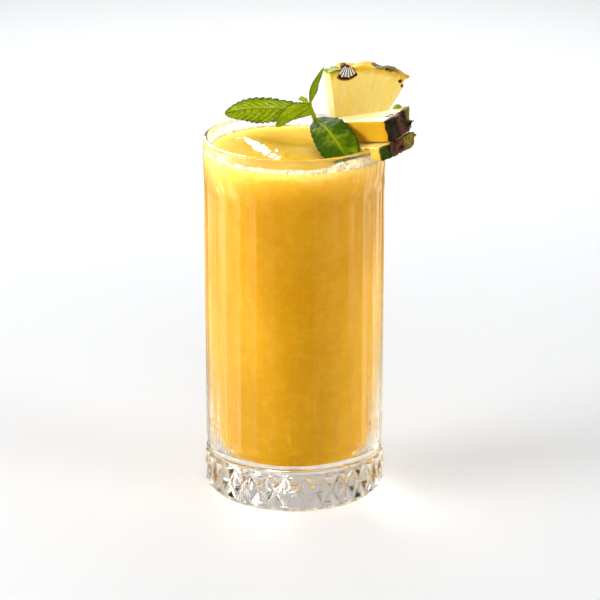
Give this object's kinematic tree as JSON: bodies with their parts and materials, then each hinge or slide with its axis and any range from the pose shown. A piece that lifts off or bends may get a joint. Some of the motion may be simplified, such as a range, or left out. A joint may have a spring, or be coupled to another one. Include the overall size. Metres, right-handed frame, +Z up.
{
  "type": "mango smoothie",
  "caption": "Thick mango smoothie in a tall fluted glass tumbler, garnished with pineapple wedges on the rim and a sprig of mint.",
  "frame": {"origin": "centre of the tumbler's flat underside", "axes": "+Z up along the tumbler's axis; the picture looks along +Y and the pineapple stands on the +X side of the rim"},
  "size_m": [0.0888, 0.0764, 0.1816],
  "materials": {
    "clear_glass": "clear polished pressed glass",
    "mango_smoothie": null,
    "pineapple": null,
    "mint_leaf": null
  },
  "bodies": {
    "root": {"tumbler": "clear_glass", "smoothie": "mango_smoothie", "pineapple_wedge_back": "pineapple", "pineapple_wedge_middle": "pineapple", "pineapple_wedge_lower": "pineapple", "mint_sprig": "mint_leaf"}
  },
  "joints": []
}
